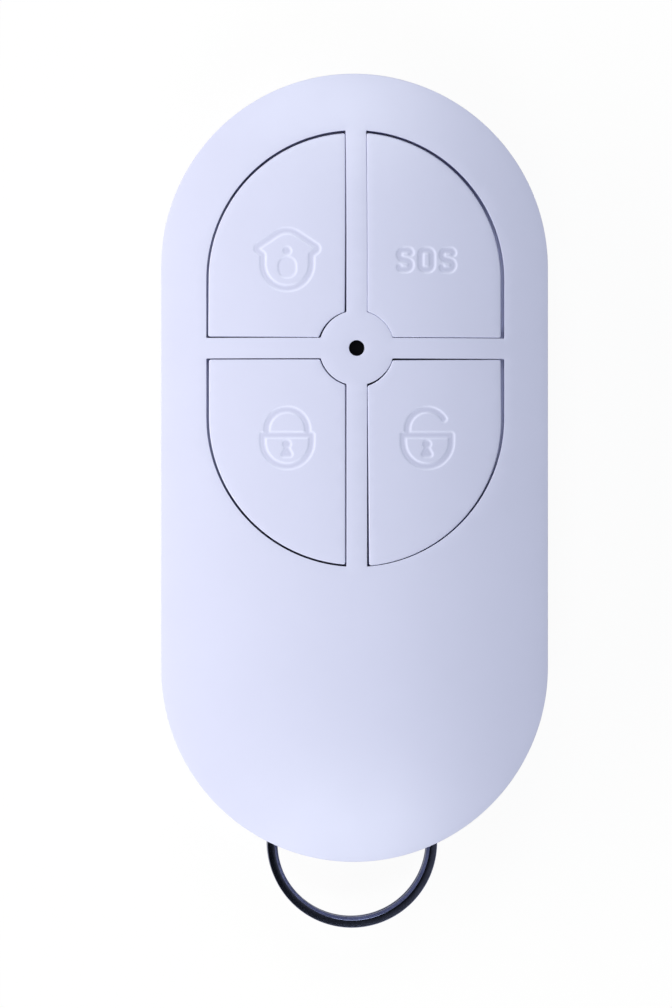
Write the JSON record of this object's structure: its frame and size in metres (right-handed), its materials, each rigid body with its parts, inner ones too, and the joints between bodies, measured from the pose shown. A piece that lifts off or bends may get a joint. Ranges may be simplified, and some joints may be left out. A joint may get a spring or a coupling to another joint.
{
  "type": "alarm key fob",
  "caption": "Slim stadium-shaped alarm remote with flush quadrant push buttons round an indicator hub, a two-part white case, coin cell, circuit board and a split key ring.",
  "frame": {"origin": "middle of the flat back face of the case", "axes": "+Z out of the crowned front face, +Y towards the end away from the key ring, +X to the right seen from the front"},
  "size_m": [0.037, 0.0819, 0.013],
  "materials": {
    "white_plastic": "satin moulded white with a cool tint",
    "button_plastic": "satin moulded white with a cool tint, sunk signs",
    "smoked_lens": "smoked clear plastic",
    "lamp": "clear resin on a white base",
    "board": "green solder mask",
    "black_plastic": "moulded black",
    "tin": "tinned metal",
    "steel": "plain sheet steel",
    "screw_steel": "zinc-plated steel",
    "copper": "bare copper track",
    "ceramic": "fired ceramic",
    "black_nickel": "polished black nickel on spring steel"
  },
  "bodies": {
    "case": {"front_cover": "white_plastic", "rear_cover": "white_plastic", "indicator_lens": "smoked_lens", "indicator_led": "lamp", "circuit_board": "board", "home_switch_base": "black_plastic", "sos_switch_base": "black_plastic", "arm_switch_base": "black_plastic", "disarm_switch_base": "black_plastic", "home_switch_plate": "steel", "sos_switch_plate": "steel", "arm_switch_plate": "steel", "disarm_switch_plate": "steel", "home_switch_dome": "steel", "sos_switch_dome": "steel", "arm_switch_dome": "steel", "disarm_switch_dome": "steel", "switch_terminals": "tin", "radio_chip": "black_plastic", "chip_leads": "tin", "crystal": "steel", "chip_capacitors": "ceramic", "chip_resistors": "black_plastic", "antenna_loop": "copper", "coin_cell": "steel", "cell_holder": "black_plastic", "cell_clip": "steel", "cell_spring_contact": "steel", "case_screws": "screw_steel"},
    "home_key": {"home_button": "button_plastic", "home_switch_plunger": "black_plastic"},
    "sos_key": {"sos_button": "button_plastic", "sos_switch_plunger": "black_plastic"},
    "arm_key": {"arm_button": "button_plastic", "arm_switch_plunger": "black_plastic"},
    "disarm_key": {"disarm_button": "button_plastic", "disarm_switch_plunger": "black_plastic"},
    "key_ring": {"split_ring": "black_nickel"}
  },
  "joints": [
    {"name": "home_press", "type": "slide", "parent": "case", "child": "home_key", "axis": [0, 0, -1], "range_m": [0, 0.0003], "stiffness_N_per_m": 4000, "springref_m": -0.0001, "deforming": ["home_switch_dome"]},
    {"name": "sos_press", "type": "slide", "parent": "case", "child": "sos_key", "axis": [0, 0, -1], "range_m": [0, 0.0003], "stiffness_N_per_m": 4000, "springref_m": -0.0001, "deforming": ["sos_switch_dome"]},
    {"name": "arm_press", "type": "slide", "parent": "case", "child": "arm_key", "axis": [0, 0, -1], "range_m": [0, 0.0003], "stiffness_N_per_m": 4000, "springref_m": -0.0001, "deforming": ["arm_switch_dome"]},
    {"name": "disarm_press", "type": "slide", "parent": "case", "child": "disarm_key", "axis": [0, 0, -1], "range_m": [0, 0.0003], "stiffness_N_per_m": 4000, "springref_m": -0.0001, "deforming": ["disarm_switch_dome"]},
    {"name": "ring_swing", "type": "hinge", "parent": "case", "child": "key_ring", "pos_m": [0, -0.031, 0.0054], "axis": [0, 0, 1], "range_deg": [-36, 36]}
  ]
}
